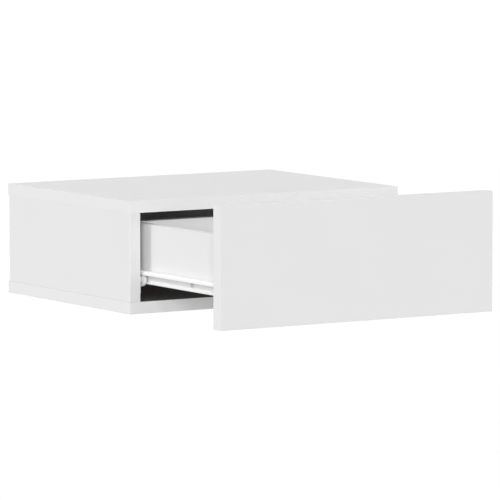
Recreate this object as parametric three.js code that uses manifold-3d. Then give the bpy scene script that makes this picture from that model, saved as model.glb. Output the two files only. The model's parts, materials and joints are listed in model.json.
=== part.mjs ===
// A nightstand that hangs on a wall: a white laminated box with one drawer on roller runners.
// Millimetres, +Z up. The wall is the plane Y = 0 and the front faces -Y. The origin is the
// centre of the rear face. The drawer is shown pulled out to the stop of its runners.

import * as THREE from 'three';
import { mergeVertices } from 'three/addons/utils/BufferGeometryUtils.js';
import Module from 'manifold-3d';

const wasm = await Module();
wasm.setup();

// Outer sizes
const carcassWidth = 400;
const carcassDepth = 304;
const carcassHeight = 141;
const frontHeight = 151;

// Boards and sheets
const boardThickness = 15;
const frontThickness = 16;
const drawerBoardThickness = 12;
const hardboardThickness = 3;
const steelGauge = 1.2;
const fit = 0.3; // air between pieces that touch

// Drawer
const closedGap = 1; // between the closed front and the carcass
const drawerTravel = 194;
const runnerSpace = 13; // between a carcass side and a drawer side
const drawerLift = 37.6; // lower edge of the drawer sides above the underside of the carcass
const drawerSideHeight = 73;
const drawerLength = 250;
const drawerFloorLift = 51; // underside of the drawer bottom above the underside of the carcass
const grooveDepth = 5;

// Hanging rail and its holes for the wall screws
const railHeight = 64;
const wallHoleSpacing = 240;
const wallHoleRadius = 3.25;

// Cam fittings
const camRadius = 7.3;
const camSetback = 24; // from the face that carries the bolt to the cam's axis
const camFrontInset = 60;
const camRearInset = 40;
const boltHoleDepth = 11;

// Roller runners. u is measured from the carcass side inwards, w from the underside upwards.
const rollerRadius = 9.3;
const rollerBore = 2.8;
const channel = { front: 2, length: 250, low: 25, high: 47.5, reach: 9.2, lip: 3.2 };
const slider = { low: 36.1, high: 53.2, lipU: 3.3, lipLow: 48.4, beadU: 10, beadHigh: 39, webLow: 40.8 };
const frontRoller = { y: 9, w: 42.4, from: 4.9, to: 9.3 };
const rearRoller = { y: 240, w: 35.8, from: 2.3, to: 7.3 };
const channelScrews = { y: [37, 229], w: 36 };
const sliderScrews = { y: [91, 219], w: 44.2 };
const backScrews = { w: [66, 98] };

// Places worked out from the sizes above
const halfWidth = carcassWidth / 2;
const carcassFront = -carcassDepth;
const carcassBottom = -carcassHeight / 2;
const carcassTop = carcassHeight / 2;
const insideHalf = halfWidth - boardThickness;
const insideBottom = carcassBottom + boardThickness;
const insideTop = carcassTop - boardThickness;
const sideRear = -hardboardThickness - fit;
const railRear = sideRear;
const railFront = railRear - boardThickness;
const railMiddle = insideTop - railHeight / 2;
const drawerOuterHalf = insideHalf - runnerSpace;
const drawerInnerHalf = drawerOuterHalf - drawerBoardThickness;
const drawerSideTop = drawerLift + drawerSideHeight;

const sides = [{ name: 'left', sign: -1 }, { name: 'right', sign: 1 }];
const forward = new THREE.Vector3(0, -1, 0);
const backward = new THREE.Vector3(0, 1, 0);
const upward = new THREE.Vector3(0, 0, 1);
const downward = new THREE.Vector3(0, 0, -1);

// Materials: each mesh takes its own copy
const whiteLaminate = () => new THREE.MeshStandardMaterial({ color: 0xe9e9ea, roughness: 0.5, metalness: 0 });
const drawerLaminate = () => new THREE.MeshStandardMaterial({ color: 0xececed, roughness: 0.55, metalness: 0 });
const hardboard = () => new THREE.MeshStandardMaterial({ color: 0xb8a184, roughness: 0.8, metalness: 0 });
const whiteHardboard = () => new THREE.MeshStandardMaterial({ color: 0xe6e6e6, roughness: 0.6, metalness: 0 });
const whiteSteel = () => new THREE.MeshStandardMaterial({ color: 0xf6f6f6, roughness: 0.35, metalness: 0 });
const rollerPlastic = () => new THREE.MeshStandardMaterial({ color: 0xdcdcd8, roughness: 0.4, metalness: 0 });
const zincCasting = () => new THREE.MeshStandardMaterial({ color: 0x9d9fa3, roughness: 0.45, metalness: 1 });
const platedSteel = () => new THREE.MeshStandardMaterial({ color: 0xc9cbcd, roughness: 0.3, metalness: 1 });

// A closed geometry as a solid. The flat triangles at a lathe's poles are dropped.
function solidOf(geometry) {
  const bare = geometry.clone();
  bare.deleteAttribute('normal');
  bare.deleteAttribute('uv');
  const merged = mergeVertices(bare);
  const corners = merged.index.array;
  const triangles = [];
  for (let i = 0; i < corners.length; i += 3) {
    const [a, b, c] = [corners[i], corners[i + 1], corners[i + 2]];
    if (a !== b && b !== c && c !== a) triangles.push(a, b, c);
  }
  return new wasm.Manifold(new wasm.Mesh({
    numProp: 3,
    vertProperties: new Float32Array(merged.attributes.position.array),
    triVerts: new Uint32Array(triangles),
  }));
}

// A named mesh from a solid, turned and moved by a matrix where one is given.
function piece(name, solid, material, place = new THREE.Matrix4()) {
  const { vertProperties, triVerts } = solid.getMesh();
  const geometry = new THREE.BufferGeometry();
  geometry.setAttribute('position', new THREE.BufferAttribute(vertProperties, 3));
  geometry.setIndex(new THREE.BufferAttribute(triVerts, 1));
  geometry.computeVertexNormals();
  const mesh = new THREE.Mesh(geometry, material);
  mesh.name = name;
  mesh.applyMatrix4(place);
  return mesh;
}

// A solid cut by every cutter of a list.
const cutBy = (solid, cutters) => cutters.reduce((rest, cutter) => rest.subtract(cutter), solid);

// A box between its lowest and its highest corner.
function box(low, high) {
  const size = low.map((value, i) => high[i] - value);
  const middle = low.map((value, i) => (high[i] + value) / 2);
  return solidOf(new THREE.BoxGeometry(...size).translate(...middle));
}

// A turned solid about +Y from [radius, height] pairs.
function turned(profile, facets) {
  const points = profile.map(([radius, height]) => new THREE.Vector2(radius, height));
  return solidOf(new THREE.LatheGeometry(points, facets));
}

const rod = (radius, from, to, facets) => turned([[0, from], [radius, from], [radius, to], [0, to]], facets);

// The matrix that stands a turned piece at a point with its +Y along a direction.
function standing(point, direction) {
  const turn = new THREE.Quaternion().setFromUnitVectors(backward, direction);
  return new THREE.Matrix4().compose(point, turn, new THREE.Vector3(1, 1, 1));
}

const movedBy = (solid, matrix) => solid.transform(matrix.elements);

// Cam fittings. The bolt stands on one board and its head ends in a cam in the end of the other.
// seam is the point where the bolt leaves its board, along runs from there to the cam, and
// out points out of the face that the cam is let into.
function camFitting(name, seam, along, out, thickness) {
  const boltAxisDepth = thickness / 2;
  const camHeight = boltAxisDepth + 3.8;
  const headHalf = 3.6;
  const across = new THREE.Vector3().crossVectors(out, along);
  const centre = seam.clone().addScaledVector(along, camSetback).addScaledVector(out, boltAxisDepth);
  const camPlace = new THREE.Matrix4().makeBasis(across, out, along).setPosition(centre);
  const boltPlace = standing(seam, along);
  const head = [camSetback - 2.6, camSetback + 1.5];
  const bolt = turned([
    [0, -boltHoleDepth], [2.5, -boltHoleDepth], [2.5, fit], [3.4, fit], [3.4, 1.8], [2.2, 1.8],
    [2.2, head[0]], [3.1, head[0]], [3.1, head[1]], [0, head[1]],
  ], 10);
  const boltSlot = box([-headHalf, -thickness, -camRadius - 1], [headHalf, headHalf - boltAxisDepth, headHalf]);
  const recess = box([-3.5, -1.8, -0.7], [3.5, 1, 0.7]).add(box([-0.7, -1.8, -3.5], [0.7, 1, 3.5]));
  const cam = rod(camRadius, -camHeight, -0.2, 20).subtract(boltSlot).subtract(recess);
  return {
    cam: piece(`${name}_cam`, cam, zincCasting(), camPlace),
    bolt: piece(`${name}_bolt`, bolt, platedSteel(), boltPlace),
    boltHole: movedBy(rod(2.9, -boltHoleDepth - fit, 1, 10), boltPlace),
    camHole: movedBy(rod(camRadius + fit, -camHeight - fit, 1, 20), camPlace)
      .add(movedBy(rod(4, -1, camSetback, 10), boltPlace)),
  };
}

// A wood screw with a countersunk or a pan head, pointing along +Y from the top of its head.
const screwRadius = 1.7;
const screwHeads = {
  countersunk: { rim: [[3.3, 0], [3.3, 0.4], [screwRadius, 2]], clear: [[3.7, -1], [3.7, 0.5], [2.1, 2.2]] },
  pan: { rim: [[2.2, 0], [2.9, 0.7], [2.9, 1.5], [screwRadius, 1.5]], clear: [[2.1, -1]] },
};

function screw(name, point, direction, length, headKind) {
  const place = standing(point, direction);
  const { rim, clear } = screwHeads[headKind];
  const recess = box([-1.8, -1, -0.4], [1.8, 0.9, 0.4]).add(box([-0.4, -1, -1.8], [0.4, 0.9, 1.8]));
  const body = turned([[0, 0], ...rim, [screwRadius, length], [0, length]], 12);
  const end = length + fit;
  return {
    screw: piece(name, body.subtract(recess), platedSteel(), place),
    hole: movedBy(turned([[0, -1], ...clear, [2.1, end], [0, end]], 12), place),
  };
}

// The outline of bent sheet steel: a middle line with half the gauge on each side and mitred bends.
function sheetOutline(middleLine) {
  const line = middleLine.map(([x, z]) => new THREE.Vector2(x, z));
  const last = line.length - 1;
  const normals = line.slice(1).map((point, i) => {
    const run = point.clone().sub(line[i]).normalize();
    return new THREE.Vector2(-run.y, run.x);
  });
  const offset = (half) => line.map((point, i) => {
    const before = normals[Math.max(i - 1, 0)];
    const after = normals[Math.min(i, last - 1)];
    const mitre = before.clone().add(after).multiplyScalar(half / (1 + before.dot(after)));
    return point.clone().add(mitre);
  });
  return [...offset(steelGauge / 2), ...offset(-steelGauge / 2).reverse()];
}

// An outline in X and Z carried from one Y to another.
function alongDepth(outline, front, rear) {
  const shape = new THREE.Shape(outline);
  const geometry = new THREE.ExtrudeGeometry(shape, { depth: rear - front, bevelEnabled: false });
  return solidOf(geometry.rotateX(Math.PI / 2).translate(0, rear, 0));
}

// A runner's own coordinates, for one side of the furniture: u from the carcass side inwards,
// w from the underside upwards, y as given, with the underside at the height base.
function runnerFrame(sign, base) {
  const x = (u) => sign * (insideHalf - u);
  const point = (u, y, w) => new THREE.Vector3(x(u), y, base + w);
  const block = (low, high) => {
    const ends = [x(low[0]), x(high[0])];
    return box([Math.min(...ends), low[1], base + low[2]], [Math.max(...ends), high[1], base + high[2]]);
  };
  const sheet = (middleLine, front, rear) => (
    alongDepth(sheetOutline(middleLine.map(([u, w]) => [x(u), base + w])), front, rear)
  );
  const inward = new THREE.Vector3(-sign, 0, 0);
  const outward = new THREE.Vector3(sign, 0, 0);
  const boss = (radius, from, to, y, w, facets) => (
    movedBy(rod(radius, 0, to - from, facets), standing(point(from, y, w), inward))
  );
  return { point, block, sheet, boss, inward, outward };
}

// The carcass half of a runner: a channel with turned-in lips on the carcass side. Its front end
// is cut back to the web, which has a pressed boss for the front roller. A tongue bent down from
// the upper flange stops the rear roller of the drawer.
function cabinetRunner(side) {
  const at = runnerFrame(side.sign, carcassBottom);
  const front = carcassFront + channel.front;
  const rollerY = carcassFront + frontRoller.y;
  const half = steelGauge / 2;
  const webU = fit + half;
  const lipU = channel.reach - half;
  const flangeStart = rollerY + rollerRadius + 1.2;
  const tongueRear = drawerGroupY + rearRoller.y - 8.5;
  const profile = at.sheet([
    [lipU, channel.low + channel.lip], [lipU, channel.low + half], [webU, channel.low + half],
    [webU, channel.high - half], [lipU, channel.high - half], [lipU, channel.high - channel.lip],
  ], front, front + channel.length);
  const webFace = fit + steelGauge;
  const clearing = at.block([webFace, front - 1, channel.low - 1], [channel.reach + 1, flangeStart, channel.high + 1]);
  const boss = at.boss(5, fit + half, frontRoller.from - 0.4, rollerY, frontRoller.w, 16);
  const tongue = at.block([webFace + 0.8, tongueRear - 1.4, 40.5], [7.8, tongueRear, channel.high - half]);
  const axleHole = at.boss(rollerBore, -1, frontRoller.from, rollerY, frontRoller.w, 16);
  const camAccess = at.boss(4.5, -1, 3, carcassFront + camFrontInset, boardThickness + camSetback, 12);
  const solid = profile.subtract(clearing).add(boss).add(tongue).subtract(axleHole).subtract(camAccess);
  const screws = channelScrews.y.map((y, i) => screw(
    `runner_cabinet_${side.name}_screw_${i + 1}`,
    at.point(fit + steelGauge - 0.1, carcassFront + y, channelScrews.w), at.outward, 14, 'countersunk',
  ));
  const holes = screws.map(({ hole }) => hole);
  return {
    holes,
    meshes: [
      piece(`runner_cabinet_${side.name}`, cutBy(solid, holes), whiteSteel()),
      ...screws.map(({ screw: mesh }) => mesh),
    ],
  };
}

// The drawer half of a runner: an angle under and beside the drawer side, whose upper flange runs
// outwards with its lip turned down. An ear at its rear end carries the rear roller.
function drawerRunner(side) {
  const at = runnerFrame(side.sign, 0);
  const half = steelGauge / 2;
  const front = 0.5;
  const rear = drawerLength - 2;
  const webU = runnerSpace - fit - half;
  const beadU = slider.beadU + half;
  const flangeEnd = runnerSpace + drawerBoardThickness - 1;
  const earFront = rearRoller.y - 7;
  const profile = at.sheet([
    [flangeEnd, slider.low + half], [beadU, slider.low + half], [beadU, slider.beadHigh],
    [webU, slider.webLow], [webU, slider.high - half], [slider.lipU + half, slider.high - half],
    [slider.lipU + half, slider.lipLow],
  ], front, rear);
  const plateFace = slider.beadU + steelGauge;
  const flangeCut = at.block([plateFace, earFront - 1, slider.low - 1], [flangeEnd + 1, rear + 1, slider.low + 1.5]);
  const ear = at.block([slider.beadU, earFront, 29.8], [plateFace, rear, slider.low + 1]);
  const boss = at.boss(5, rearRoller.to + 0.4, slider.beadU + half, rearRoller.y, rearRoller.w, 16);
  const axleHole = at.boss(rollerBore, rearRoller.to, plateFace + 0.5, rearRoller.y, rearRoller.w, 16);
  const solid = profile.subtract(flangeCut).add(ear).add(boss).subtract(axleHole);
  const headTop = runnerSpace - 2 * fit - steelGauge - 1.5;
  const screws = sliderScrews.y.map((y, i) => screw(
    `runner_drawer_${side.name}_screw_${i + 1}`,
    at.point(headTop, y, sliderScrews.w), at.inward, 12, 'pan',
  ));
  const holes = screws.map(({ hole }) => hole);
  return {
    holes,
    meshes: [
      piece(`runner_drawer_${side.name}`, cutBy(solid, holes), whiteSteel()),
      ...screws.map(({ screw: mesh }) => mesh),
    ],
  };
}

// A roller about +Y: a tyre with rounded shoulders, a thinner web and a hub, recessed on the side
// of the rivet head, which is the side at width.
function rollerSolid(width) {
  const recess = 0.8;
  return turned([
    [rollerBore, 0], [4.4, 0], [4.4, 0.7], [7.2, 0.7], [7.2, 0], [rollerRadius - 0.5, 0],
    [rollerRadius, 0.5], [rollerRadius, width - 0.5], [rollerRadius - 0.5, width],
    [5, width], [5, width - recess], [rollerBore, width - recess], [rollerBore, 0],
  ], 24);
}

// The riveted axle about +Y: it starts flush in its steel plate and its head lies in the roller.
function axleSolid(length) {
  return turned([[0, 0], [2.5, 0], [2.5, length - 0.6], [4, length - 0.6], [4, length], [0, length]], 16);
}

// A roller and its axle. u runs from the plate that holds the axle towards the roller.
function rollerPair(label, side, base, y, roller, plateU, headUp) {
  const at = runnerFrame(side.sign, base);
  const direction = headUp ? at.inward : at.outward;
  const [near, far] = headUp ? [roller.from, roller.to] : [roller.to, roller.from];
  const width = roller.to - roller.from;
  const axleLength = Math.abs(far - plateU);
  return {
    roller: piece(
      `roller_${label}_${side.name}`, rollerSolid(width), rollerPlastic(),
      standing(at.point(near, y, roller.w), direction),
    ),
    axle: piece(
      `axle_${label}_${side.name}`, axleSolid(axleLength), platedSteel(),
      standing(at.point(plateU, y, roller.w), direction),
    ),
  };
}

// Where the drawer's own group stands: its y = 0 is the back of the drawer front and its z = 0
// is the underside of the carcass.
const drawerGroupY = carcassFront - closedGap - drawerTravel;

// The carcass: four boards, the hardboard back and the hanging rail, with their cam fittings.
function buildCarcass() {
  const group = new THREE.Group();
  const cuts = { top: [], bottom: [], left: [], right: [], rail: [] };
  const camRows = [
    { name: 'front', y: carcassFront + camFrontInset },
    { name: 'rear', y: -camRearInset },
  ];
  const levels = [
    { name: 'top', z: insideTop, along: downward },
    { name: 'bottom', z: insideBottom, along: upward },
  ];
  for (const side of sides) {
    const inward = new THREE.Vector3(-side.sign, 0, 0);
    for (const level of levels) {
      for (const row of camRows) {
        const seam = new THREE.Vector3(side.sign * (insideHalf + boardThickness / 2), row.y, level.z);
        const name = `${level.name}_${side.name}_${row.name}`;
        const fitting = camFitting(name, seam, level.along, inward, boardThickness);
        group.add(fitting.cam, fitting.bolt);
        cuts[level.name].push(fitting.boltHole);
        cuts[side.name].push(fitting.camHole);
      }
    }
    const railSeam = new THREE.Vector3(side.sign * insideHalf, railRear - boardThickness / 2, railMiddle);
    const railFitting = camFitting(`rail_${side.name}`, railSeam, inward, forward, boardThickness);
    group.add(railFitting.cam, railFitting.bolt);
    cuts[side.name].push(railFitting.boltHole);
    cuts.rail.push(railFitting.camHole);

    const runner = cabinetRunner(side);
    group.add(...runner.meshes);
    cuts[side.name].push(...runner.holes);
    const pair = rollerPair('front', side, carcassBottom, carcassFront + frontRoller.y, frontRoller, fit + 0.2, true);
    group.add(pair.roller, pair.axle);
  }
  const wallHoles = [-1, 1].map((sign) => movedBy(
    rod(wallHoleRadius, -40, 10, 16),
    standing(new THREE.Vector3(sign * wallHoleSpacing / 2, 0, railMiddle), backward),
  ));

  const panel = (lowZ, highZ) => box([-halfWidth, carcassFront, lowZ], [halfWidth, 0, highZ]);
  group.add(piece('top_panel', cutBy(panel(insideTop, carcassTop), cuts.top), whiteLaminate()));
  group.add(piece('bottom_panel', cutBy(panel(carcassBottom, insideBottom), cuts.bottom), whiteLaminate()));
  for (const side of sides) {
    const ends = [side.sign * insideHalf, side.sign * halfWidth].sort((a, b) => a - b);
    const low = [ends[0], carcassFront, insideBottom + fit];
    const high = [ends[1], sideRear, insideTop - fit];
    group.add(piece(`side_panel_${side.name}`, cutBy(box(low, high), cuts[side.name]), whiteLaminate()));
  }
  const rail = box(
    [fit - insideHalf, railFront, insideTop - railHeight],
    [insideHalf - fit, railRear, insideTop - fit],
  );
  group.add(piece('hanging_rail', cutBy(rail, [...cuts.rail, ...wallHoles]), whiteLaminate()));
  const backInset = 2;
  const back = box(
    [backInset - halfWidth, -hardboardThickness, insideBottom + fit],
    [halfWidth - backInset, 0, insideTop - fit],
  );
  group.add(piece('back_panel', cutBy(back, wallHoles), hardboard()));
  return group;
}

// The drawer: a front board with a box behind it, its bottom held in grooves on all four sides.
function buildDrawer() {
  const group = new THREE.Group();
  group.position.set(0, drawerGroupY, carcassBottom);
  const cuts = { front: [], left: [], right: [], back: [] };
  const backFront = drawerLength - drawerBoardThickness;
  const floorReach = grooveDepth - fit;
  const floorTop = drawerFloorLift + hardboardThickness;
  const groove = box(
    [-drawerInnerHalf - grooveDepth, -grooveDepth, drawerFloorLift - fit],
    [drawerInnerHalf + grooveDepth, backFront + grooveDepth, floorTop + fit],
  );
  for (const side of sides) {
    const inward = new THREE.Vector3(-side.sign, 0, 0);
    const camLevel = (floorTop + drawerSideTop) / 2;
    const seam = new THREE.Vector3(side.sign * (drawerOuterHalf - drawerBoardThickness / 2), 0, camLevel);
    const fitting = camFitting(`drawer_${side.name}`, seam, backward, inward, drawerBoardThickness);
    group.add(fitting.cam, fitting.bolt);
    cuts.front.push(fitting.boltHole);
    cuts[side.name].push(fitting.camHole);

    backScrews.w.forEach((w, i) => {
      const head = new THREE.Vector3(side.sign * (drawerOuterHalf - 0.1), drawerLength - drawerBoardThickness / 2, w);
      const made = screw(`drawer_back_${side.name}_screw_${i + 1}`, head, inward, 35, 'countersunk');
      group.add(made.screw);
      cuts[side.name].push(made.hole);
      cuts.back.push(made.hole);
    });

    const runner = drawerRunner(side);
    group.add(...runner.meshes);
    cuts[side.name].push(...runner.holes);
    const plateU = slider.beadU + steelGauge - 0.2;
    const pair = rollerPair('rear', side, 0, rearRoller.y, rearRoller, plateU, false);
    group.add(pair.roller, pair.axle);
  }

  const front = box([-halfWidth, -frontThickness, 0], [halfWidth, 0, frontHeight]);
  group.add(piece('drawer_front', cutBy(front, [...cuts.front, groove]), whiteLaminate()));
  for (const side of sides) {
    const ends = [side.sign * drawerInnerHalf, side.sign * drawerOuterHalf].sort((a, b) => a - b);
    const board = box([ends[0], fit, drawerLift], [ends[1], drawerLength, drawerSideTop]);
    const solid = cutBy(board, [...cuts[side.name], groove]);
    group.add(piece(`drawer_side_${side.name}`, solid, drawerLaminate()));
  }
  const back = box(
    [fit - drawerInnerHalf, backFront, drawerLift],
    [drawerInnerHalf - fit, drawerLength, drawerSideTop],
  );
  group.add(piece('drawer_back', cutBy(back, [...cuts.back, groove]), drawerLaminate()));
  const floor = box(
    [-drawerInnerHalf - floorReach, -floorReach, drawerFloorLift],
    [drawerInnerHalf + floorReach, backFront + floorReach, floorTop],
  );
  group.add(piece('drawer_bottom', floor, whiteHardboard()));
  return group;
}

const nightstand = new THREE.Group();
nightstand.name = 'floating_nightstand';
nightstand.add(buildCarcass(), buildDrawer());

export default nightstand;
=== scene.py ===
import bpy
import bmesh
import json
import math
import numpy as np
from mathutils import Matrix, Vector

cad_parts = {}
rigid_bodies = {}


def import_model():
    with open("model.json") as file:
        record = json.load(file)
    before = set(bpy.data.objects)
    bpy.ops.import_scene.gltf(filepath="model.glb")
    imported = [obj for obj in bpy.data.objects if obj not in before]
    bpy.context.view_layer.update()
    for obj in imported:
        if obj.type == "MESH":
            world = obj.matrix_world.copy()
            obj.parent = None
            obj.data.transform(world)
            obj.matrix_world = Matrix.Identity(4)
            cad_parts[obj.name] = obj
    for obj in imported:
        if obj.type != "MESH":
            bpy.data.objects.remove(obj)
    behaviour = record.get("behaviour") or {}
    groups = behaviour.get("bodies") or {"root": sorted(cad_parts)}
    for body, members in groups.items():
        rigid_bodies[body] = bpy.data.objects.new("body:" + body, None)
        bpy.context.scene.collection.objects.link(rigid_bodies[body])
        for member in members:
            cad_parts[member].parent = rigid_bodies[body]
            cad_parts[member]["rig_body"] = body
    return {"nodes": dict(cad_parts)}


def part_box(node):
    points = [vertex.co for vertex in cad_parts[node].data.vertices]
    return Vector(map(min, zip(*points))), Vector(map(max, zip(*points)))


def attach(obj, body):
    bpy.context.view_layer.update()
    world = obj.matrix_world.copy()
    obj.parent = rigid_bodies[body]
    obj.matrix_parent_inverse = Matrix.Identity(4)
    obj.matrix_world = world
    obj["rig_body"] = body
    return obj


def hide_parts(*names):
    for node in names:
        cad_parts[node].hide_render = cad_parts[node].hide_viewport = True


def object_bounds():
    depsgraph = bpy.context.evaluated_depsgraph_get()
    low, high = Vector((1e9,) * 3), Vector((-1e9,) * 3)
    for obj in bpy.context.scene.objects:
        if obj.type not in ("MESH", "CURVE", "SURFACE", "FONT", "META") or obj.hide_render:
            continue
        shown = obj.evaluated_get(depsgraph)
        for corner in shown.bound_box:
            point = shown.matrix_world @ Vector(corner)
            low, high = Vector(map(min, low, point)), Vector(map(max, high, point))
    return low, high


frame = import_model()
cadLow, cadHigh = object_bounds()
scene = bpy.context.scene
mm = 0.001
print("frame loaded:", len(frame["nodes"]), "nodes")

# Camera: it aims at the front of the carcass from the left and a little above
cameraSetup = {
    "azimuth": -32.383,
    "elevation": 5.712,
    "distance": 6.5328,
    "lens": 374.16,
    "aim": (-0.02391, -0.304, 0.00059),
}


def addCamera(setup):
    azimuth = math.radians(setup["azimuth"])
    elevation = math.radians(setup["elevation"])
    level = math.cos(elevation)
    back = Vector((math.sin(azimuth) * level, -math.cos(azimuth) * level, math.sin(elevation)))
    data = bpy.data.cameras.new("studioCamera")
    data.lens = setup["lens"]
    data.sensor_width = 36
    data.clip_end = 60
    camera = bpy.data.objects.new("studioCamera", data)
    camera.location = Vector(setup["aim"]) + back * setup["distance"]
    camera.rotation_euler = back.to_track_quat("Z", "Y").to_euler()
    scene.collection.objects.link(camera)
    scene.camera = camera


addCamera(cameraSetup)


def standFor(piece, node):
    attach(piece, frame["nodes"][node]["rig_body"])
    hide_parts(node)
    return piece


def corners(node):
    low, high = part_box(node)
    return np.array(low), np.array(high)


# Materials. Each finish is a small node tree on Object coordinates, in metres.
def linear(*levels):
    share = np.array(levels) / 255
    curved = np.where(share <= 0.04045, share / 12.92, ((share + 0.055) / 1.055) ** 2.4)
    return (*curved.tolist(), 1.0)


class Finish:
    def __init__(self, name):
        self.material = bpy.data.materials.new(name)
        self.material.use_nodes = True
        self.nodes = self.material.node_tree.nodes
        self.shader = self.nodes["Principled BSDF"]
        self.place = self.add("ShaderNodeTexCoord").outputs["Object"]

    def add(self, kind, inputs=None, **settings):
        node = self.nodes.new(kind)
        for key, value in settings.items():
            setattr(node, key, value)
        for key, value in (inputs or {}).items():
            if isinstance(value, bpy.types.NodeSocket):
                self.material.node_tree.links.new(value, node.inputs[key])
            else:
                node.inputs[key].default_value = value
        return node

    def stretched(self, scale):
        return self.add("ShaderNodeMapping", {"Vector": self.place, "Scale": scale}).outputs["Vector"]

    def noise(self, scale, detail=2.0, roughness=0.5, vector=None, distortion=0.0):
        inputs = {"Vector": vector or self.place, "Scale": scale, "Detail": detail,
                  "Roughness": roughness, "Distortion": distortion}
        return self.add("ShaderNodeTexNoise", inputs).outputs["Fac"]

    def ramp(self, value, low, high, fromMin=0.0, fromMax=1.0):
        inputs = {"Value": value, "From Min": fromMin, "From Max": fromMax, "To Min": low, "To Max": high}
        return self.add("ShaderNodeMapRange", inputs).outputs["Result"]

    def mixed(self, share, first, second):
        # inputs 6 and 7 and output 2 are the node's colour sockets
        node = self.add("ShaderNodeMix", data_type="RGBA")
        links = self.material.node_tree.links
        for socket, value in ((node.inputs[0], share), (node.inputs[6], first), (node.inputs[7], second)):
            if isinstance(value, bpy.types.NodeSocket):
                links.new(value, socket)
            else:
                socket.default_value = value
        return node.outputs[2]

    def bump(self, height, strength, distance, below=None):
        inputs = {"Height": height, "Strength": strength, "Distance": distance}
        if below:
            inputs["Normal"] = below
        return self.add("ShaderNodeBump", inputs).outputs["Normal"]

    def wire(self, **sockets):
        names = {"color": "Base Color", "roughness": "Roughness", "normal": "Normal"}
        for key, value in sockets.items():
            self.material.node_tree.links.new(value, self.shader.inputs[names[key]])

    def fixed(self, **values):
        for key, value in values.items():
            self.shader.inputs[key].default_value = value


melamine = {
    "light": linear(229, 229, 229),
    "shade": linear(226, 226, 226),
    "grainScale": 1900,
    "peelScale": 260,
    "cloudScale": 11,
    "roughness": (0.52, 0.62),
}


def melamineFinish(name, recipe):
    # cloudy tone, then a fine press-plate grain over a longer orange peel
    finish = Finish(name)
    cloud = finish.noise(recipe["cloudScale"], detail=3)
    finish.wire(color=finish.mixed(cloud, recipe["light"], recipe["shade"]))
    grain = finish.noise(recipe["grainScale"], detail=2, roughness=0.6)
    peel = finish.noise(recipe["peelScale"], detail=1)
    low, high = recipe["roughness"]
    finish.wire(roughness=finish.ramp(grain, low, high, 0.3, 0.7))
    softPeel = finish.bump(peel, 0.25, 0.00004)
    finish.wire(normal=finish.bump(grain, 0.3, 0.00002, below=softPeel))
    finish.fixed(**{"Specular IOR Level": 0.4})
    return finish.material


edgeBand = {
    "light": linear(230, 230, 230),
    "shade": linear(227, 227, 227),
    "lineScale": (60, 60, 2600),
    "roughness": (0.46, 0.56),
}


# painted shade: the side panels' bands are made darker than the others to take back the light bounced onto
# them
sideBandPaintedShade = {
    "light": linear(224, 224, 224),
    "shade": linear(221, 221, 221),
    "lineScale": (60, 60, 2600),
    "roughness": (0.5, 0.6),
}


def edgeBandFinish(name, recipe):
    # fine scraper lines along the band over an even plastic
    finish = Finish(name)
    lines = finish.noise(1.0, detail=3, vector=finish.stretched(recipe["lineScale"]))
    finish.wire(color=finish.mixed(lines, recipe["light"], recipe["shade"]))
    low, high = recipe["roughness"]
    finish.wire(roughness=finish.ramp(lines, low, high, 0.3, 0.7))
    finish.wire(normal=finish.bump(lines, 0.2, 0.00003))
    finish.fixed(**{"Specular IOR Level": 0.45})
    return finish.material


# painted shade for the bay's floor: a dark foil, lifted by a faint painted glow
bayPaintedShade = {
    "light": linear(84, 82, 81),
    "shade": linear(72, 70, 70),
    "fibreScale": (420, 90, 420),
    # strength of the painted glow
    "lift": 0.010,
}


def bayPaintedShadeFinish(name, recipe):
    # painted shade: a dark foil with a faint paper fibre stands in for the shade on the bay's floor; the lift
    # is a painted glow that keeps its depth from closing up
    finish = Finish(name)
    fibre = finish.noise(1.0, detail=4, vector=finish.stretched(recipe["fibreScale"]))
    finish.wire(color=finish.mixed(fibre, recipe["light"], recipe["shade"]))
    finish.wire(roughness=finish.ramp(fibre, 0.62, 0.78, 0.3, 0.7))
    finish.wire(normal=finish.bump(fibre, 0.2, 0.00003))
    # painted glow: a faint emission in the foil's own colour
    finish.fixed(**{"Specular IOR Level": 0.25, "Emission Color": recipe["light"],
                    "Emission Strength": recipe["lift"] / recipe["light"][0]})
    return finish.material


chipboard = {
    "chips": (linear(205, 176, 134), linear(148, 112, 74)),
    "glue": linear(96, 70, 44),
    "chipScale": (520, 520, 1500),
}


def chipboardFinish(name, recipe):
    # pressed wood chips: stretched cells with their own tone, dark glue gaps between them
    finish = Finish(name)
    wander = finish.stretched(recipe["chipScale"])
    cells = finish.add("ShaderNodeTexVoronoi", {"Vector": wander, "Scale": 1.0, "Randomness": 1.0})
    gaps = finish.add("ShaderNodeTexVoronoi", {"Vector": wander, "Scale": 1.0}, feature="DISTANCE_TO_EDGE")
    split = finish.add("ShaderNodeSeparateColor", {"Color": cells.outputs["Color"]})
    tone = finish.mixed(split.outputs["Red"], *recipe["chips"])
    gapShare = finish.ramp(gaps.outputs["Distance"], 1.0, 0.0, 0.0, 0.08)
    finish.wire(color=finish.mixed(gapShare, tone, recipe["glue"]))
    finish.wire(roughness=finish.ramp(split.outputs["Green"], 0.75, 0.95))
    finish.wire(normal=finish.bump(split.outputs["Blue"], 0.6, 0.0002))
    return finish.material


hardboardRear = {
    "light": linear(170, 133, 92),
    "shade": linear(128, 95, 62),
    "fibreScale": (300, 300, 900),
    "screenScale": 700,
}
primedRear = {
    "light": linear(228, 228, 226),
    "shade": linear(220, 219, 216),
    "fibreScale": (300, 300, 900),
    "screenScale": 700,
}


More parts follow.
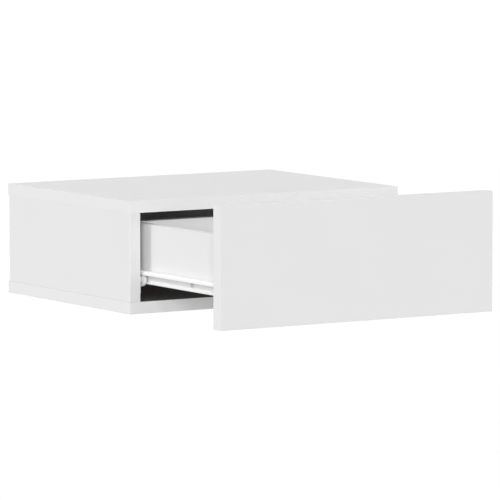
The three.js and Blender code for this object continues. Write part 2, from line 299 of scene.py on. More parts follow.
def hardboardFinish(name, recipe):
    # matted fibres over a soft blotch, bare or primed, with the fine mesh print of the press screen
    finish = Finish(name)
    matting = finish.stretched(recipe["fibreScale"])
    fibre = finish.noise(1.0, detail=5, roughness=0.7, vector=matting, distortion=1.2)
    blotch = finish.noise(14, detail=3)
    wires = {"Vector": finish.place, "Scale": recipe["screenScale"]}
    screenX = finish.add("ShaderNodeTexWave", wires, bands_direction="X")
    screenZ = finish.add("ShaderNodeTexWave", wires, bands_direction="Z")
    mesh = finish.add("ShaderNodeMath", {0: screenX.outputs["Fac"], 1: screenZ.outputs["Fac"]},
                      operation="MULTIPLY")
    share = finish.add("ShaderNodeMath", {0: fibre, 1: blotch}, operation="MULTIPLY")
    tone = finish.ramp(share.outputs[0], 0.0, 1.0, 0.12, 0.42)
    finish.wire(color=finish.mixed(tone, recipe["shade"], recipe["light"]))
    finish.wire(roughness=finish.ramp(fibre, 0.7, 0.9))
    below = finish.bump(mesh.outputs[0], 0.35, 0.00008)
    finish.wire(normal=finish.bump(fibre, 0.4, 0.0001, below=below))
    finish.fixed(**{"Specular IOR Level": 0.2})
    return finish.material


powderCoat = {
    "light": linear(248, 248, 248),
    "shade": linear(244, 244, 245),
    # colour of the painted shade in the folds and recesses
    "paintedFoldShade": linear(224, 224, 225),
    "paintedShadeReach": 0.006,
    "peelScale": 900,
    "roughness": (0.24, 0.34),
}


def powderCoatFinish(name, recipe):
    # epoxy coat: small round pooling of the powder, a little glossier on the crests, with painted shade
    # darkening it in the folds
    finish = Finish(name)
    peel = finish.noise(recipe["peelScale"], detail=1.5)
    dirt = finish.noise(45, detail=4)
    coat = finish.mixed(finish.ramp(dirt, 0.0, 1.0, 0.35, 0.75), recipe["light"], recipe["shade"])
    # painted shade: ambient occlusion darkens the coat where it folds in under the lip
    openness = finish.add("ShaderNodeAmbientOcclusion", {"Distance": recipe["paintedShadeReach"]}, samples=4)
    paintedShadeShare = finish.ramp(openness.outputs["AO"], 1.0, 0.0, 0.35, 0.85)
    finish.wire(color=finish.mixed(paintedShadeShare, coat, recipe["paintedFoldShade"]))
    low, high = recipe["roughness"]
    finish.wire(roughness=finish.ramp(peel, low, high, 0.3, 0.7))
    finish.wire(normal=finish.bump(peel, 0.12, 0.00003))
    finish.fixed(**{"Specular IOR Level": 0.5, "Coat Weight": 0.12, "Coat Roughness": 0.15})
    return finish.material


nylon = {
    "light": linear(237, 237, 234),
    "shade": linear(226, 226, 222),
    "roughness": (0.34, 0.46),
}


def nylonFinish(name, recipe):
    # moulded nylon: milky cloud, fine sparks of the eroded mould
    finish = Finish(name)
    cloud = finish.noise(160, detail=3)
    spark = finish.noise(4200, detail=1)
    finish.wire(color=finish.mixed(cloud, recipe["light"], recipe["shade"]))
    low, high = recipe["roughness"]
    finish.wire(roughness=finish.ramp(spark, low, high, 0.3, 0.7))
    finish.wire(normal=finish.bump(spark, 0.3, 0.00003))
    finish.fixed(**{"Specular IOR Level": 0.5})
    return finish.material


zinc = {
    "light": linear(188, 190, 193),
    "shade": linear(150, 152, 156),
    "roughness": (0.34, 0.58),
}


def zincFinish(name, recipe):
    # die-cast skin: cloudy grey with small pits
    finish = Finish(name)
    cloud = finish.noise(420, detail=4, roughness=0.6)
    pits = finish.noise(2600, detail=2)
    finish.wire(color=finish.mixed(cloud, recipe["light"], recipe["shade"]))
    low, high = recipe["roughness"]
    finish.wire(roughness=finish.ramp(cloud, low, high, 0.3, 0.7))
    finish.wire(normal=finish.bump(pits, 0.35, 0.00006))
    finish.fixed(Metallic=1.0)
    return finish.material


plated = {
    "light": linear(214, 216, 218),
    "shade": linear(186, 188, 186),
    "roughness": (0.2, 0.38),
}


def platedFinish(name, recipe):
    # bright zinc plating with drawing lines and a faint cloud
    finish = Finish(name)
    cloud = finish.noise(650, detail=3)
    lines = finish.noise(1.0, detail=2, vector=finish.stretched((6000, 6000, 300)))
    finish.wire(color=finish.mixed(cloud, recipe["light"], recipe["shade"]))
    low, high = recipe["roughness"]
    finish.wire(roughness=finish.ramp(lines, low, high, 0.3, 0.7))
    finish.wire(normal=finish.bump(lines, 0.15, 0.00002))
    finish.fixed(Metallic=1.0)
    return finish.material


whiteBoard = melamineFinish("whiteMelamine", melamine)
whiteEdge = edgeBandFinish("whiteEdgeBand", edgeBand)
# band with painted shade for the side panels
sideEdgePaintedShade = edgeBandFinish("paintedShadeSideBands", sideBandPaintedShade)
# painted shade for the bay's floor
paintedShadeFloor = bayPaintedShadeFinish("bayFloorPaintedShade", bayPaintedShade)
rawChips = chipboardFinish("rawChipboard", chipboard)
brownFibre = hardboardFinish("brownHardboard", hardboardRear)
primedFibre = hardboardFinish("primedHardboard", primedRear)
whiteCoat = powderCoatFinish("whitePowderCoat", powderCoat)
milkyNylon = nylonFinish("milkyNylon", nylon)
dullZinc = zincFinish("dullZinc", zinc)
brightSteel = platedFinish("brightPlating", plated)
print("finishes made")


# Meshes
def meshFromRings(name, rings, materials, capped=True, wrapped=False, smoothAngle=None):
    # rings[i, j] is point j of ring i; quads join neighbours, the first and last ring are capped
    count, around = rings.shape[:2]
    column = np.arange(around)
    beside = (column + 1) % around
    row = np.arange(count if wrapped else count - 1)[:, None]
    above = (row + 1) % count
    quads = np.stack([row * around + column, row * around + beside,
                      above * around + beside, above * around + column], axis=-1)
    faces = quads.reshape(-1, 4).tolist()
    if capped and not wrapped:
        faces.append(column[::-1].tolist())
        faces.append((column + (count - 1) * around).tolist())
    mesh = bpy.data.meshes.new(name)
    mesh.from_pydata(rings.reshape(-1, 3).tolist(), [], faces)
    outward = bmesh.new()
    outward.from_mesh(mesh)
    bmesh.ops.recalc_face_normals(outward, faces=outward.faces)
    outward.to_mesh(mesh)
    outward.free()
    for material in materials:
        mesh.materials.append(material)
    if smoothAngle:
        mesh.shade_smooth()
        mesh.set_sharp_from_angle(angle=math.radians(smoothAngle))
    piece = bpy.data.objects.new(name, mesh)
    scene.collection.objects.link(piece)
    return piece


def combined(piece, others, operation):
    # the others are added to or cut from the piece, and go away
    for other in others:
        change = piece.modifiers.new("change", "BOOLEAN")
        change.operation = operation
        change.solver = "EXACT"
        change.object = other
        change.material_mode = "TRANSFER"
        shaped = piece.evaluated_get(bpy.context.evaluated_depsgraph_get())
        mesh = bpy.data.meshes.new_from_object(shaped)
        piece.modifiers.clear()
        piece.data = mesh
        bpy.data.objects.remove(other)
    return piece


def drilled(piece, cutters):
    return combined(piece, cutters, "DIFFERENCE")


def paint(piece, material, direction, over=False):
    # faces that look along a direction take another material; painted ones only change with over
    mesh = piece.data
    if material.name not in [slot.name for slot in mesh.materials]:
        mesh.materials.append(material)
    index = [slot.name for slot in mesh.materials].index(material.name)
    count = len(mesh.polygons)
    normals = np.zeros(count * 3)
    mesh.polygons.foreach_get("normal", normals)
    chosen = np.zeros(count, dtype=np.int32)
    mesh.polygons.foreach_get("material_index", chosen)
    facing = normals.reshape(-1, 3) @ np.array(direction) > 0.99
    chosen[facing & (over | (chosen == 0))] = index
    mesh.polygons.foreach_set("material_index", chosen)


def boardRings(low, high, arris, corner, bandLine):
    # rectangle rings stacked through the thickness; each side is drawn in by its own arris times
    # (1 - sin t) while the height grows by (1 - cos t), so every long edge is a quarter round.
    # arris[face, side] has the faces in order of height and the sides as -a, +a, -b, +b
    size = high - low
    thin = int(np.argmin(size))
    a, b = [axis for axis in range(3) if axis != thin]
    quarter = np.linspace(0, math.pi / 2, 5)
    groove = 0.05 * mm
    line = np.array([bandLine + 2 * groove, bandLine + groove, bandLine])[:, None] * np.ones(4)
    insets = [np.vstack([line, face * (1 - np.sin(quarter))[:, None]]) for face in arris]
    rise = [np.concatenate([[0, groove, 0], face.max() * (1 - np.cos(quarter))]) for face in arris]
    insets = np.vstack([insets[0], insets[1][::-1]])
    heights = np.concatenate([rise[0], size[thin] - rise[1][::-1]])
    reach = np.maximum(corner - insets.min(axis=1), 0.02 * mm)[:, None]
    turn = np.concatenate([quarter + k * math.pi / 2 for k in range(4)])
    right, top = np.repeat([True, False, False, True], 5), np.repeat([True, True, False, False], 5)
    rings = np.zeros((len(insets), turn.size, 3))
    rings[..., a] = np.where(right, high[a] - insets[:, 1:2] - reach, low[a] + insets[:, 0:1] + reach)
    rings[..., b] = np.where(top, high[b] - insets[:, 3:4] - reach, low[b] + insets[:, 2:3] + reach)
    rings[..., a] += reach * np.cos(turn)
    rings[..., b] += reach * np.sin(turn)
    rings[..., thin] = low[thin] + heights[:, None]
    return rings


def sideways(direction):
    # two unit vectors square to a direction and to each other
    axis = np.array(direction, float)
    other = np.array([0.0, 0.0, 1.0]) if abs(axis[2]) < 0.5 else np.array([0.0, 1.0, 0.0])
    first = np.cross(other, axis)
    return first, np.cross(axis, first)


def turnedRings(profile, start, direction, facets, thread=None):
    # point = start + along * direction + radius * (cos t, sin t); a thread adds a saw wave of the
    # height to the radius, one turn per pitch
    profile = np.array(profile, float) * mm
    turn = np.linspace(0, 2 * math.pi, facets, endpoint=False)[None, :]
    radius, along = profile[:, 0][:, None], profile[:, 1][:, None]
    if thread:
        phase = (along / (thread["pitch"] * mm) - turn / (2 * math.pi)) % 1
        ridge = np.clip(1 - np.abs(phase - 0.5) * 5, 0, 1)
        inside = (along > thread["from"] * mm) & (along < thread["to"] * mm)
        radius = radius + ridge * inside * thread["height"] * mm
    first, second = sideways(direction)
    axis = np.array(direction, float)
    return (np.array(start) + along[..., None] * axis
            + (radius * np.cos(turn))[..., None] * first + (radius * np.sin(turn))[..., None] * second)


def turnedCutter(profile, start, direction, material=rawChips, facets=32):
    return meshFromRings("cutter", turnedRings(profile, start, direction, facets), [material])


def blockCutter(low, high, material=rawChips):
    # a box as four-point rings from one end to the other
    low, high = np.minimum(low, high), np.maximum(low, high)
    square = np.array([[low[0], low[1]], [high[0], low[1]], [high[0], high[1]], [low[0], high[1]]])
    rings = np.stack([np.column_stack([square, np.full(4, z)]) for z in (low[2], high[2])])
    return meshFromRings("cutter", rings, [material])


def crossCutter(start, direction, size, depth, material):
    # a cross-shaped outline that narrows with depth, as a cross recess does
    arm, web = 1.0, 0.28
    outline = np.array([[arm, web], [web, web], [web, arm], [-web, arm], [-web, web], [-arm, web],
                        [-arm, -web], [-web, -web], [-web, -arm], [web, -arm], [web, -web], [arm, -web]])
    first, second = sideways(direction)
    levels = ((-0.3, 1.0), (0.0, 1.0), (1.0, 0.42))
    rings = np.array([np.array(start) + share * depth * np.array(direction)
                      + width * size * (outline[:, :1] * first + outline[:, 1:] * second)
                      for share, width in levels])
    return meshFromRings("cutter", rings, [material])


def axisOf(node, direction):
    # where a turned CAD piece starts along its direction, its length and its largest radius
    low, high = corners(node)
    axis = np.array(direction, float)
    length = abs(np.dot(high - low, axis))
    across = (high - low)[np.abs(axis) < 0.5]
    return (low + high) / 2 - axis * length / 2, length, across.max() / 2


# Which way each side's pieces point
sideSigns = {"left": -1, "right": 1}
forward, backward, upward, downward = (0, -1, 0), (0, 1, 0), (0, 0, 1), (0, 0, -1)


def inward(side):
    return (-sideSigns[side], 0, 0)


def outwardOf(side):
    return (sideSigns[side], 0, 0)


# Cam fittings: the castings sit in drilled holes, their bolts reach them through the board's end
camFittings = {
    f"{level}_{side}_{row}": {"out": inward(side), "along": along,
                              "bolted": f"{level}_panel", "holds": f"side_panel_{side}"}
    for side in sideSigns for row in ("front", "rear")
    for level, along in (("top", downward), ("bottom", upward))
}
for side in sideSigns:
    camFittings[f"rail_{side}"] = {"out": forward, "along": inward(side),
                                   "bolted": f"side_panel_{side}", "holds": "hanging_rail"}
    camFittings[f"drawer_{side}"] = {"out": inward(side), "along": backward,
                                     "bolted": "drawer_front", "holds": f"drawer_side_{side}"}

camShape = {"chamfer": 0.35, "lip": 0.9, "recess": 3.6, "recessDepth": 1.9, "slot": 3.6,
            "holeGap": 0.25, "shankHole": 4.0, "shankFrom": 11.0, "threadHole": 2.8, "threadDepth": 12}


def makeCam(name, fitting):
    # a turned cup with a raised rim, a cross recess and the slot that takes the bolt's head
    node = f"{name}_cam"
    out = np.array(fitting["out"], float)
    base, height, radius = axisOf(node, -out)
    tall, wide, cut, lip = height / mm, radius / mm, camShape["chamfer"], camShape["lip"]
    profile = [[0.4, 0.35], [wide - lip - 0.3, 0.35], [wide - lip, 0.0], [wide - cut, 0.0], [wide, cut],
               [wide, tall - cut], [wide - cut, tall], [0.4, tall]]
    rings = turnedRings(profile, base, -out, 64)
    cam = meshFromRings(f"{name}_casting", rings, [dullZinc], smoothAngle=30)
    depth = np.abs(np.array(fitting["out"])) @ np.abs(axisOf(f"{name}_bolt", fitting["along"])[0] - base)
    along = np.array(fitting["along"], float)
    across = np.cross(out, along)
    slot = camShape["slot"] * mm
    entry = base - out * (depth - slot) - along * (radius + mm) - across * slot
    inner = base - out * (height + mm) + along * slot + across * slot
    recess = crossCutter(base, -out, camShape["recess"] * mm, camShape["recessDepth"] * mm, dullZinc)
    drilled(cam, [blockCutter(entry, inner, dullZinc), recess])
    return standFor(cam, node)


boltShape = {"thread": 0.55, "pitch": 1.6, "core": 1.95, "threadEnd": 10.6, "collar": 3.3,
             "shaft": 2.2, "neck": 1.6, "head": 3.05}


def makeCamBolt(name, fitting):
    # coarse chipboard thread, collar on the board, shaft, neck and the head that the cam pulls
    node = f"{name}_bolt"
    start, length, _ = axisOf(node, fitting["along"])
    total, shape = length / mm, boltShape
    threadEnd = shape["threadEnd"]
    tip = np.linspace(0.8, threadEnd, 70)
    core = np.column_stack([np.full_like(tip, shape["core"]), tip])
    profile = [[0.5, 0.0], [1.5, 0.3], *core.tolist(), [shape["shaft"], threadEnd + 0.3],
               [shape["collar"], 11.3], [shape["collar"], 12.7], [shape["shaft"], 12.8],
               [shape["shaft"], total - 5.6], [shape["neck"], total - 4.8],
               [shape["neck"], total - 3.9], [shape["head"] - 0.5, total - 3.7],
               [shape["head"], total - 3.0], [shape["head"], total - 0.9],
               [shape["head"] - 0.6, total], [0.4, total]]
    thread = {"pitch": shape["pitch"], "from": 1.2, "to": threadEnd - 0.4, "height": shape["thread"]}
    rings = turnedRings(profile, start, fitting["along"], 32, thread)
    return standFor(meshFromRings(f"{name}_pin", rings, [brightSteel], smoothAngle=35), node)


for name, fitting in camFittings.items():
    makeCam(name, fitting)
    makeCamBolt(name, fitting)
print("cam fittings made:", len(camFittings))


def camHoles(board):
    # the cups, shank bores and thread holes that the fittings need in one board
    cutters = []
    for name, fitting in camFittings.items():
        out = np.array(fitting["out"], float)
        base, height, radius = axisOf(f"{name}_cam", -out)
        boltStart, boltLength, _ = axisOf(f"{name}_bolt", fitting["along"])
        wide, tall = radius / mm + camShape["holeGap"], height / mm + 0.3
        shank, thread = camShape["shankHole"], camShape["threadHole"]
        if fitting["holds"] == board:
            cutters.append(turnedCutter([[wide, -2], [wide, tall]], base, -out, facets=48))
            bore = [[shank, camShape["shankFrom"]], [shank, boltLength / mm - 1]]
            cutters.append(turnedCutter(bore, boltStart, fitting["along"]))
        if fitting["bolted"] == board:
            bore = [[thread, -0.3], [thread, camShape["threadDepth"]]]
            cutters.append(turnedCutter(bore, boltStart, fitting["along"]))
    return cutters


# Screws: a head with a cross recess and a threaded shank
screwKinds = {
    "countersunk": {"head": [[0.3, 0.0], [2.9, 0.0], [3.25, 0.2], [3.25, 0.45], [1.75, 1.9]],
                    "hole": [[3.6, -1.0], [3.6, 0.5], [2.1, 2.1]], "recess": 1.75},
    "pan": {"head": [[0.3, 0.0], [1.4, 0.05], [2.2, 0.3], [2.75, 0.75], [2.88, 1.1], [2.85, 1.5],
                     [1.75, 1.5]],
            "hole": [[2.1, -1.0]], "recess": 1.6},
}
screwShank = {"core": 1.3, "pitch": 1.4, "thread": 0.4}
screws = {}
for side in sideSigns:
    for number in (1, 2):
        screws[f"runner_cabinet_{side}_screw_{number}"] = (
            "countersunk", outwardOf(side), f"side_panel_{side}")
        screws[f"runner_drawer_{side}_screw_{number}"] = ("pan", inward(side), f"drawer_side_{side}")
        screws[f"drawer_back_{side}_screw_{number}"] = ("countersunk", inward(side), f"drawer_side_{side}")


def makeScrew(node, kind, direction):
    # head profile, then a shank whose thread is a saw wave around it, then a point
    start, length, _ = axisOf(node, direction)
    shape, total = screwKinds[kind], length / mm
    headEnd = shape["head"][-1][1]
    shank = np.linspace(headEnd + 0.4, total - 2.2, int((total - headEnd) * 5))
    core = np.column_stack([np.full_like(shank, screwShank["core"]), shank])
    profile = [*shape["head"], *core.tolist(), [0.25, total]]
    thread = {"pitch": screwShank["pitch"], "from": headEnd + 1.2, "to": total - 2.4,
              "height": screwShank["thread"]}
    rings = turnedRings(profile, start, direction, 32, thread)
    screw = meshFromRings(f"{node}_steel", rings, [brightSteel], smoothAngle=35)
    drilled(screw, [crossCutter(start, direction, shape["recess"] * mm, 1.0 * mm, brightSteel)])
    return standFor(screw, node)


def screwHoles(board):
    cutters = []
    for node, (kind, direction, into) in screws.items():
        if into == board or (board == "drawer_back" and node.startswith("drawer_back")):
            start, length, _ = axisOf(node, direction)
            end = length / mm + 0.2
            cutters.append(turnedCutter([*screwKinds[kind]["hole"], [2.1, end]], start, direction))
    return cutters


for node, (kind, direction, _) in screws.items():
    makeScrew(node, kind, direction)
print("screws made:", len(screws))

# Boards: white faces, banded edges, raw rear ends, painted shade as a dark foil on the bay's floor
boardLook = {"arris": 0.35, "frontArris": 0.2, "thinArris": 0.3, "tight": 0.03, "topSeam": 0.28,
             "lowerSeam": 0.22, "bandLine": 1.1, "grooveGap": 0.3}
rawRears = ("top_panel", "bottom_panel", "side_panel_left", "side_panel_right")


def arrisOf(node, arris):
    # the top joint closes without a line and the lower one shows a fine one, as in the photograph
    table = np.full((2, 4), arris)
    if node == "top_panel":
        table[0, :3] = boardLook["tight"]
    if node.startswith("side_panel"):
        table[:, 3] = boardLook["tight"]
        table[:, 2] = arris / 3
    return table * mm


def makeBoard(node, arris):
    # a rounded board from the node's box; upright sides reach into their joints to leave a thin seam
    low, high = corners(node)
    if node.startswith("side_panel"):
        low[2] -= boardLook["lowerSeam"] * mm
        high[2] += boardLook["topSeam"] * mm
    rings = boardRings(low, high, arrisOf(node, arris), arris * mm, boardLook["bandLine"] * mm)
    board = meshFromRings(f"{node}_board", rings, [whiteBoard])
    thin = int(np.argmin(high - low))
    # the side panels get the band with painted shade
    band = sideEdgePaintedShade if node.startswith("side_panel") else whiteEdge
    for axis in range(3):
        if axis != thin:
            paint(board, band, np.eye(3)[axis])
            paint(board, band, -np.eye(3)[axis])
    if node in rawRears:
        paint(board, rawChips, backward, over=True)
    if node == "bottom_panel":
        # the bay's floor takes the painted-shade foil
        paint(board, paintedShadeFloor, upward)
    return board


wallHole = {"spacing": 240 * mm, "radius": 3.25, "railAir": 0.3 * mm}


def wallHoles():
    # the two holes through rail and back, centred on the rail's height and the air above it
    low, high = corners("hanging_rail")
    radius, aside = wallHole["radius"], wallHole["spacing"] / 2
    middle = (low[2] + wallHole["railAir"] + high[2]) / 2
    reach = -low[1] / mm + 5
    bore = [[radius, -reach], [radius, 5]]
    return [turnedCutter(bore, (place, 0, middle), backward) for place in (-aside, aside)]


def floorGroove():
    # the groove that the drawer bottom slides in, a little wider than the sheet
    low, high = corners("drawer_bottom")
    gap = boardLook["grooveGap"] * mm
    return blockCutter(low - gap, high + gap)


for node in (*rawRears, "hanging_rail", "drawer_front"):
    board = makeBoard(node, boardLook["frontArris" if node == "drawer_front" else "arris"])
    cutters = camHoles(node) + screwHoles(node)
    if node == "hanging_rail":
        cutters += wallHoles()
    if node == "drawer_front":
        cutters.append(floorGroove())
    standFor(drilled(board, cutters), node)
for node in ("drawer_side_left", "drawer_side_right", "drawer_back"):
    board = makeBoard(node, boardLook["thinArris"])
    standFor(drilled(board, camHoles(node) + screwHoles(node) + [floorGroove()]), node)
print("boards made")


# Hardboard sheets
def makeSheet(node, cutters, frontMaterial, rearMaterial, direction):
    low, high = corners(node)
    rings = boardRings(low, high, np.full((2, 4), 0.25 * mm), 0.4 * mm, 3 * mm)
    sheet = meshFromRings(f"{node}_sheet", rings, [rearMaterial])
    paint(sheet, frontMaterial, direction)
    return standFor(drilled(sheet, cutters), node)


makeSheet("back_panel", wallHoles(), whiteBoard, brownFibre, forward)
makeSheet("drawer_bottom", [], whiteBoard, primedFibre, upward)
print("hardboard made")


# Runners: bent sheet steel
def roundedLine(points, radius, steps=5):
    # a middle line whose bends are arcs: each corner gives way to points on the circle that
    # touches both legs; returned with the unit normals of the line
    points = np.array(points, float)
    legs = np.diff(points, axis=0)
    legs /= np.linalg.norm(legs, axis=1)[:, None]
    lefts = np.column_stack([-legs[:, 1], legs[:, 0]])
    line, normals = [points[0]], [lefts[0]]
    for corner, before, after, leftBefore in zip(points[1:-1], legs, legs[1:], lefts):
        turn = math.atan2(before[0] * after[1] - before[1] * after[0], before @ after)
        side = math.copysign(1.0, turn)
        centre = corner - before * radius * math.tan(abs(turn) / 2) + leftBefore * radius * side
        angles = np.linspace(0, turn, steps)
        cosines, sines = np.cos(angles)[:, None], np.sin(angles)[:, None]
        swung = leftBefore * cosines + np.array([-leftBefore[1], leftBefore[0]]) * sines
        line.extend(centre - swung * radius * side)
        normals.extend(swung)
    line.append(points[-1])
    normals.append(lefts[-1])
    return np.array(line), np.array(normals)


def bentSheetRings(points, gauge, radius, ends):
    # outline = middle line plus and minus half the gauge along its normals, with half-round edges,
    # carried along Y between the two ends
    line, normals = roundedLine(points, radius)
    half = gauge / 2
    swing = np.linspace(0, math.pi, 5)[1:-1]
    endRun = np.array([normals[-1][1], -normals[-1][0]])
    startRun = np.array([-normals[0][1], normals[0][0]])
    endRound = [line[-1] + half * (normals[-1] * math.cos(a) + endRun * math.sin(a)) for a in swing]
    startRound = [line[0] + half * (-normals[0] * math.cos(a) + startRun * math.sin(a)) for a in swing]
    outline = np.vstack([line + normals * half, endRound, (line - normals * half)[::-1], startRound])
    rings = np.zeros((len(ends), len(outline), 3))
    rings[..., 0] = outline[:, 0]
    rings[..., 2] = outline[:, 1]
    rings[..., 1] = np.array(ends)[:, None]
    return rings


steel = {"gauge": 1.2 * mm, "bend": 1.1 * mm, "boss": 5.0, "bossEdge": 0.6, "bossAir": 0.4, "axleHole": 2.7}
channelShape = {"lip": 3.2 * mm, "camAccess": 4.5, "rollerAir": 1.2 * mm, "tongueHeight": 5.8 * mm,
                "tongueBehind": 8.5 * mm, "tongueGauge": 1.4 * mm, "tongueAir": 0.8 * mm}
sliderShape = {"height": 17.1 * mm, "fit": 0.3 * mm, "lipDrop": 4.5 * mm, "beadHeight": 2.7 * mm,
               "webStart": 4.4 * mm, "beadOut": 1.5 * mm, "earFront": 7 * mm, "earHeight": 6.3 * mm,
               "earCut": 1.1 * mm, "earLap": 1.5 * mm}


def bossOn(start, direction, length, radius):
    # a pressed boss: a short turned cone with a rounded shoulder
    edge = steel["bossEdge"]
    profile = [[radius + 0.8, 0.0], [radius + 0.1, 0.5], [radius, length - edge],
               [radius - edge, length], [0.3, length]]
    return meshFromRings("boss", turnedRings(profile, start, direction, 40), [whiteCoat])


def axleHole(start, direction):
    wide = steel["axleHole"]
    return turnedCutter([[wide, -2], [wide, 6]], start, direction, whiteCoat)


def makeChannel(side):
    # the carcass half: a channel with turned-in lips, cut back to its web at the front
    node = f"runner_cabinet_{side}"
    sign = sideSigns[side]
    low, high = corners(node)
    half = steel["gauge"] / 2
    web = sign * (max(abs(low[0]), abs(high[0])) - half)
    lip = sign * (min(abs(low[0]), abs(high[0])) + half)
    bottom, top = low[2] + half, high[2] - half
    line = [(lip, low[2] + channelShape["lip"]), (lip, bottom), (web, bottom), (web, top), (lip, top),
            (lip, high[2] - channelShape["lip"])]
    rings = bentSheetRings(line, steel["gauge"], steel["bend"], (low[1], high[1]))
    channel = meshFromRings(f"{node}_steel", rings, [whiteCoat], smoothAngle=35)
    roller = f"roller_front_{side}"
    rollerStart, _, rollerRadius = axisOf(roller, inward(side))
    webFace = web - sign * half
    clearLow = np.array([webFace, low[1] - mm, low[2] - mm])
    flangeStart = rollerStart[1] + rollerRadius + channelShape["rollerAir"]
    clearHigh = np.array([lip - sign * 2 * mm, flangeStart, high[2] + mm])
    drilled(channel, [blockCutter(clearLow, clearHigh, whiteCoat)])
    bossStart = np.array([web, rollerStart[1], rollerStart[2]])
    bossLength = abs(rollerStart[0] - web) / mm - steel["bossAir"]
    rearStart = axisOf(f"roller_rear_{side}", inward(side))[0]
    tongueRear = rearStart[1] - channelShape["tongueBehind"]
    air = sign * channelShape["tongueAir"]
    tongueLow = np.array([webFace - air, tongueRear - channelShape["tongueGauge"],
                          top - channelShape["tongueHeight"]])
    tongueHigh = np.array([lip + air, tongueRear, top])
    combined(channel, [bossOn(bossStart, inward(side), bossLength, steel["boss"]),
                       blockCutter(tongueLow, tongueHigh, whiteCoat)], "UNION")
    holes = [axleHole(bossStart, inward(side))]
    camBase = axisOf(f"bottom_{side}_front_cam", inward(side))[0]
    accessStart = np.array([web + sign * 3 * mm, camBase[1], camBase[2]])
    access = channelShape["camAccess"]
    holes.append(turnedCutter([[access, 0], [access, 6]], accessStart, inward(side), whiteCoat))
    for number in (1, 2):
        start, _, _ = axisOf(f"{node}_screw_{number}", outwardOf(side))
        holes.append(turnedCutter(screwKinds["countersunk"]["hole"], start, outwardOf(side), whiteCoat))
    return standFor(drilled(channel, holes), node)


def makeSlider(side):
    # the drawer half: flange under the side, stepped web beside it, upper flange with its lip; at the
    # rear the flange is cut away and an ear hangs down that carries the roller
    node = f"runner_drawer_{side}"
    sign = sideSigns[side]
    low, high = corners(node)
    half = steel["gauge"] / 2
    sideFace = corners(f"drawer_side_{side}")
    drawerFace = sign * max(abs(sideFace[0][0]), abs(sideFace[1][0]))
    web = drawerFace + sign * (sliderShape["fit"] + half)
    bead = web + sign * sliderShape["beadOut"]
    lip = sign * (max(abs(low[0]), abs(high[0])) - half)
    flangeEnd = sign * min(abs(low[0]), abs(high[0]))
    top = high[2] - half
    bottom = high[2] - sliderShape["height"]
    flangeLevel = bottom + half
    line = [(flangeEnd, flangeLevel), (bead, flangeLevel), (bead, bottom + sliderShape["beadHeight"]),
            (web, bottom + sliderShape["webStart"]), (web, top), (lip, top),
            (lip, high[2] - sliderShape["lipDrop"])]
    rings = bentSheetRings(line, steel["gauge"], steel["bend"], (low[1], high[1]))
    slider = meshFromRings(f"{node}_steel", rings, [whiteCoat], smoothAngle=35)
    rollerStart, _, _ = axisOf(f"roller_rear_{side}", outwardOf(side))
    earFront = rollerStart[1] - sliderShape["earFront"]
    plateInner = bead - sign * half
    cutLow = np.array([plateInner, earFront - mm, flangeLevel - 2 * mm])
    cutHigh = np.array([flangeEnd - sign * mm, high[1] + mm, flangeLevel + sliderShape["earCut"]])
    drilled(slider, [blockCutter(cutLow, cutHigh, whiteCoat)])
    earLow = np.array([bead + sign * half, earFront, bottom - sliderShape["earHeight"]])
    earHigh = np.array([plateInner, high[1], flangeLevel + sliderShape["earLap"]])
    bossStart = np.array([bead, rollerStart[1], rollerStart[2]])
    bossLength = abs(rollerStart[0] - bead) / mm - steel["bossAir"]
    combined(slider, [blockCutter(earLow, earHigh, whiteCoat),
                      bossOn(bossStart, outwardOf(side), bossLength, steel["boss"])], "UNION")
    holes = [axleHole(bossStart, outwardOf(side))]
    for number in (1, 2):
        start, _, _ = axisOf(f"{node}_screw_{number}", inward(side))
        holes.append(turnedCutter([[2.1, 1.0], [2.1, 5.0]], start, inward(side), whiteCoat))
    return standFor(drilled(slider, holes), node)


for side in sideSigns:
    makeChannel(side)
    makeSlider(side)
print("runners made")

# Rollers and their riveted axles
rollerShape = {"hub": 4.6, "rim": 7.4, "dish": 0.75, "shoulder": 0.55, "bore": 2.75, "recess": 5.1}
rivetShape = {"shaft": 2.5, "head": 0.55}


def makeRoller(node, direction):
    # closed profile turned about the axle: rounded tyre, dished web, hub, recess for the rivet
    start, length, radius = axisOf(node, direction)
    wide, wheel, shape = length / mm, radius / mm, rollerShape
    arc = np.linspace(0, math.pi / 2, 5)
    soft = shape["shoulder"]
    near = np.column_stack([wheel - soft + soft * np.sin(arc), soft - soft * np.cos(arc)])
    far = np.column_stack([wheel - soft + soft * np.cos(arc), wide - soft + soft * np.sin(arc)])
    profile = [[shape["bore"], 0.2], [shape["bore"] + 0.2, 0.0], [shape["hub"], 0.0],
               [shape["hub"] + 0.25, shape["dish"]], [shape["rim"] - 0.25, shape["dish"]],
               [shape["rim"], 0.0], *near.tolist(), *far.tolist(),
               [shape["rim"], wide], [shape["rim"] - 0.2, wide - 0.5], [shape["recess"] + 0.5, wide - 0.5],
               [shape["recess"] + 0.3, wide], [shape["recess"], wide], [shape["recess"], wide - 0.8],
               [shape["bore"], wide - 0.8]]
    rings = turnedRings(profile, start, direction, 72)
    roller = meshFromRings(f"{node}_moulding", rings, [milkyNylon], wrapped=True, smoothAngle=35)
    return standFor(roller, node)


def makeAxle(node, direction):
    # a plain shaft with a domed rivet head: head height falls off as a circle does
    start, length, radius = axisOf(node, direction)
    long, wide = length / mm, radius / mm
    head, shaft = rivetShape["head"], rivetShape["shaft"]
    arc = np.linspace(0, math.pi / 2, 6)[1:]
    dome = np.column_stack([np.maximum(wide * np.cos(arc), 0.2), long - head + head * np.sin(arc)])
    profile = [[shaft - 0.3, 0.0], [shaft, 0.3], [shaft, long - 0.6], [wide, long - 0.6],
               [wide, long - head], *dome.tolist()]
    rings = turnedRings(profile, start, direction, 48)
    return standFor(meshFromRings(f"{node}_rivet", rings, [brightSteel], smoothAngle=35), node)


for side in sideSigns:
    makeRoller(f"roller_front_{side}", inward(side))
    makeRoller(f"roller_rear_{side}", outwardOf(side))
    makeAxle(f"axle_front_{side}", inward(side))
    makeAxle(f"axle_rear_{side}", outwardOf(side))
print("rollers and axles made")

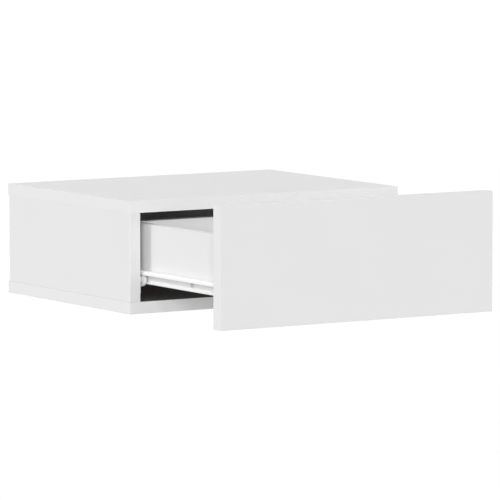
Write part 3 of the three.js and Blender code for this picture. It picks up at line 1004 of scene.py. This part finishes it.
# Studio: soft far lamps, an even pale surround and a floor well below the hanging piece
studio = {"floorDrop": 0.48, "floorSize": 60, "floorTone": 0.5, "floorLift": 0.549, "surround": 0.44,
          "whiteBack": 1.0, "sheenFrom": 18}
lamps = {
    "keyHigh": {"azimuth": -34, "elevation": 42, "softness": 8, "strength": 0.415},
    "leftLow": {"azimuth": -43, "elevation": 9, "softness": 13, "strength": 0.945},
    "frontLow": {"azimuth": -29, "elevation": 16, "softness": 8, "strength": 0.63},
    "leftHigh": {"azimuth": -98, "elevation": 41, "softness": 7, "strength": 1.0},
    "front": {"azimuth": 4, "elevation": 21, "softness": 14, "strength": 0.3},
    "right": {"azimuth": 110, "elevation": 9, "softness": 20, "strength": 0.9},
}


def addLamp(name, lamp):
    data = bpy.data.lights.new(name, "SUN")
    data.angle = math.radians(lamp["softness"])
    data.energy = lamp["strength"]
    piece = bpy.data.objects.new(name, data)
    azimuth, elevation = math.radians(lamp["azimuth"]), math.radians(lamp["elevation"])
    level = math.cos(elevation)
    toLamp = Vector((math.sin(azimuth) * level, -math.cos(azimuth) * level, math.sin(elevation)))
    piece.rotation_euler = toLamp.to_track_quat("Z", "Y").to_euler()
    piece.location = toLamp * 4
    # the sheen of a low lamp would burn out the top as seen from the far side
    piece.visible_glossy = lamp["elevation"] >= studio["sheenFrom"]
    scene.collection.objects.link(piece)


def seenRays(nodes, links):
    # 1 for rays from the camera, through glass or off a mirror, 0 for those that only carry light
    paths = nodes.new("ShaderNodeLightPath")
    share = paths.outputs["Is Camera Ray"]
    for kind in ("Is Transmission Ray", "Is Glossy Ray"):
        either = nodes.new("ShaderNodeMath")
        either.operation = "MAXIMUM"
        links.new(share, either.inputs[0])
        links.new(paths.outputs[kind], either.inputs[1])
        share = either.outputs[0]
    return share


def addSurround():
    # seen as white, while it lights the object with an even surround
    world = bpy.data.worlds.new("paleSurround")
    scene.world = world
    world.use_nodes = True
    nodes, links = world.node_tree.nodes, world.node_tree.links
    level = nodes.new("ShaderNodeMapRange")
    level.inputs["To Min"].default_value = studio["surround"]
    level.inputs["To Max"].default_value = studio["whiteBack"]
    links.new(seenRays(nodes, links), level.inputs["Value"])
    links.new(level.outputs["Result"], nodes["Background"].inputs["Strength"])
    nodes["Background"].inputs["Color"].default_value = (1, 1, 1, 1)


def addFloor():
    # pale floor that keeps its shadow; seen from below it lets the view through
    half = studio["floorSize"] / 2
    level = cadLow.z - studio["floorDrop"]
    square = [[-half, -half, level], [half, -half, level], [half, half, level], [-half, half, level]]
    mesh = bpy.data.meshes.new("studioFloor")
    mesh.from_pydata(square, [], [[0, 1, 2, 3]])
    floor = bpy.data.objects.new("studioFloor", mesh)
    scene.collection.objects.link(floor)
    material = bpy.data.materials.new("paleFloor")
    material.use_nodes = True
    nodes, links = material.node_tree.nodes, material.node_tree.links
    shader = nodes["Principled BSDF"]
    shader.inputs["Base Color"].default_value = (studio["floorTone"],) * 3 + (1,)
    shader.inputs["Roughness"].default_value = 0.9
    shader.inputs["Specular IOR Level"].default_value = 0.1
    shader.inputs["Emission Color"].default_value = (1, 1, 1, 1)
    lift = nodes.new("ShaderNodeMath")
    lift.operation = "MULTIPLY"
    lift.inputs[1].default_value = studio["floorLift"]
    links.new(seenRays(nodes, links), lift.inputs[0])
    links.new(lift.outputs[0], shader.inputs["Emission Strength"])
    below = nodes.new("ShaderNodeNewGeometry")
    clear = nodes.new("ShaderNodeBsdfTransparent")
    either = nodes.new("ShaderNodeMixShader")
    links.new(below.outputs["Backfacing"], either.inputs["Fac"])
    links.new(shader.outputs["BSDF"], either.inputs[1])
    links.new(clear.outputs["BSDF"], either.inputs[2])
    links.new(either.outputs["Shader"], nodes["Material Output"].inputs["Surface"])
    mesh.materials.append(material)


for name, lamp in lamps.items():
    addLamp(name, lamp)
addSurround()
addFloor()
scene.view_settings.view_transform = "Standard"
print("studio lit")
